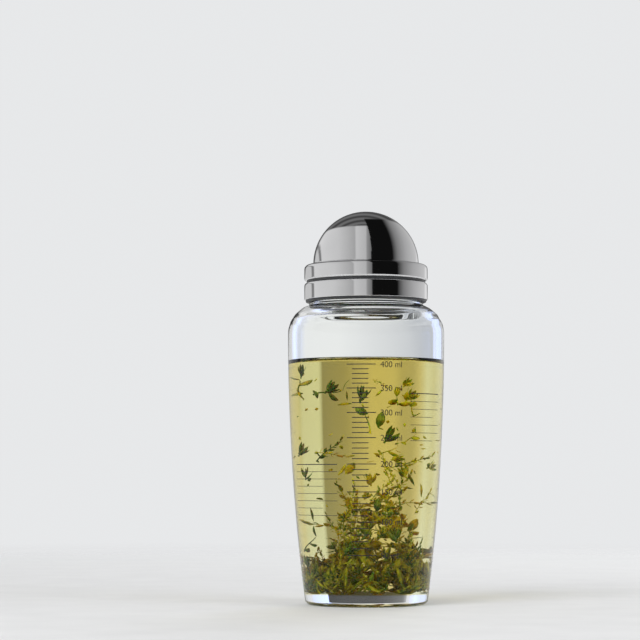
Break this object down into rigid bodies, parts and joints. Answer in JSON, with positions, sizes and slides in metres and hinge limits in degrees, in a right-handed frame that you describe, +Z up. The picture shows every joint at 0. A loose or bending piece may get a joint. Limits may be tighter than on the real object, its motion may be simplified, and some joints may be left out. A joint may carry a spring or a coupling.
{
  "type": "dressing shaker bottle",
  "caption": "Round tapered glass bottle for shaking salad dressing, with a screw collar that holds a strainer and pouring lip, and a domed polished steel screw cap.",
  "frame": {"origin": "middle of the foot, on the surface the bottle stands on", "axes": "+Z up along the bottle's axis, towards the dome of the cap; the printed scale faces -Y"},
  "size_m": [0.0816, 0.0816, 0.205],
  "materials": {
    "glass": "clear, smooth",
    "polished_steel": "mirror polished stainless steel",
    "strainer_steel": "satin stainless steel",
    "dark_plastic": "moulded, fine matt",
    "liner_plastic": "natural polypropylene",
    "silicone": "milky silicone"
  },
  "bodies": {
    "bottle": {"glass_bottle": "glass"},
    "rim_seal": {"rim_gasket": "silicone"},
    "strainer": {"strainer": "strainer_steel"},
    "collar": {"collar_sleeve": "polished_steel", "collar_insert": "dark_plastic"},
    "lip_seal": {"cap_gasket": "silicone"},
    "liner": {"cap_liner": "liner_plastic"},
    "cap": {"cap_insert": "dark_plastic", "cap_shell": "polished_steel"}
  },
  "joints": [
    {"name": "top_lift", "type": "slide", "parent": "bottle", "child": "rim_seal", "axis": [0, 0, 1], "range_m": [0, 0.07]},
    {"name": "collar_rise", "type": "slide", "parent": "rim_seal", "child": "strainer", "axis": [0, 0, 1], "range_m": [0, 0.006]},
    {"name": "collar_turn", "type": "hinge", "parent": "strainer", "child": "collar", "pos_m": [0, 0, 0.163], "axis": [0, 0, 1], "range_deg": [0, 540]},
    {"name": "cap_lift", "type": "slide", "parent": "collar", "child": "lip_seal", "axis": [0, 0, 1], "range_m": [0, 0.06]},
    {"name": "cap_rise", "type": "slide", "parent": "lip_seal", "child": "liner", "axis": [0, 0, 1], "range_m": [0, 0.00525]},
    {"name": "cap_turn", "type": "hinge", "parent": "liner", "child": "cap", "pos_m": [0, 0, 0.172], "axis": [0, 0, 1], "range_deg": [0, 540]}
  ],
  "couplings": [
    {"joint": "collar_rise", "follows": "collar_turn", "m_per_rad": 0.0006366},
    {"joint": "cap_rise", "follows": "cap_turn", "m_per_rad": 0.000557}
  ]
}
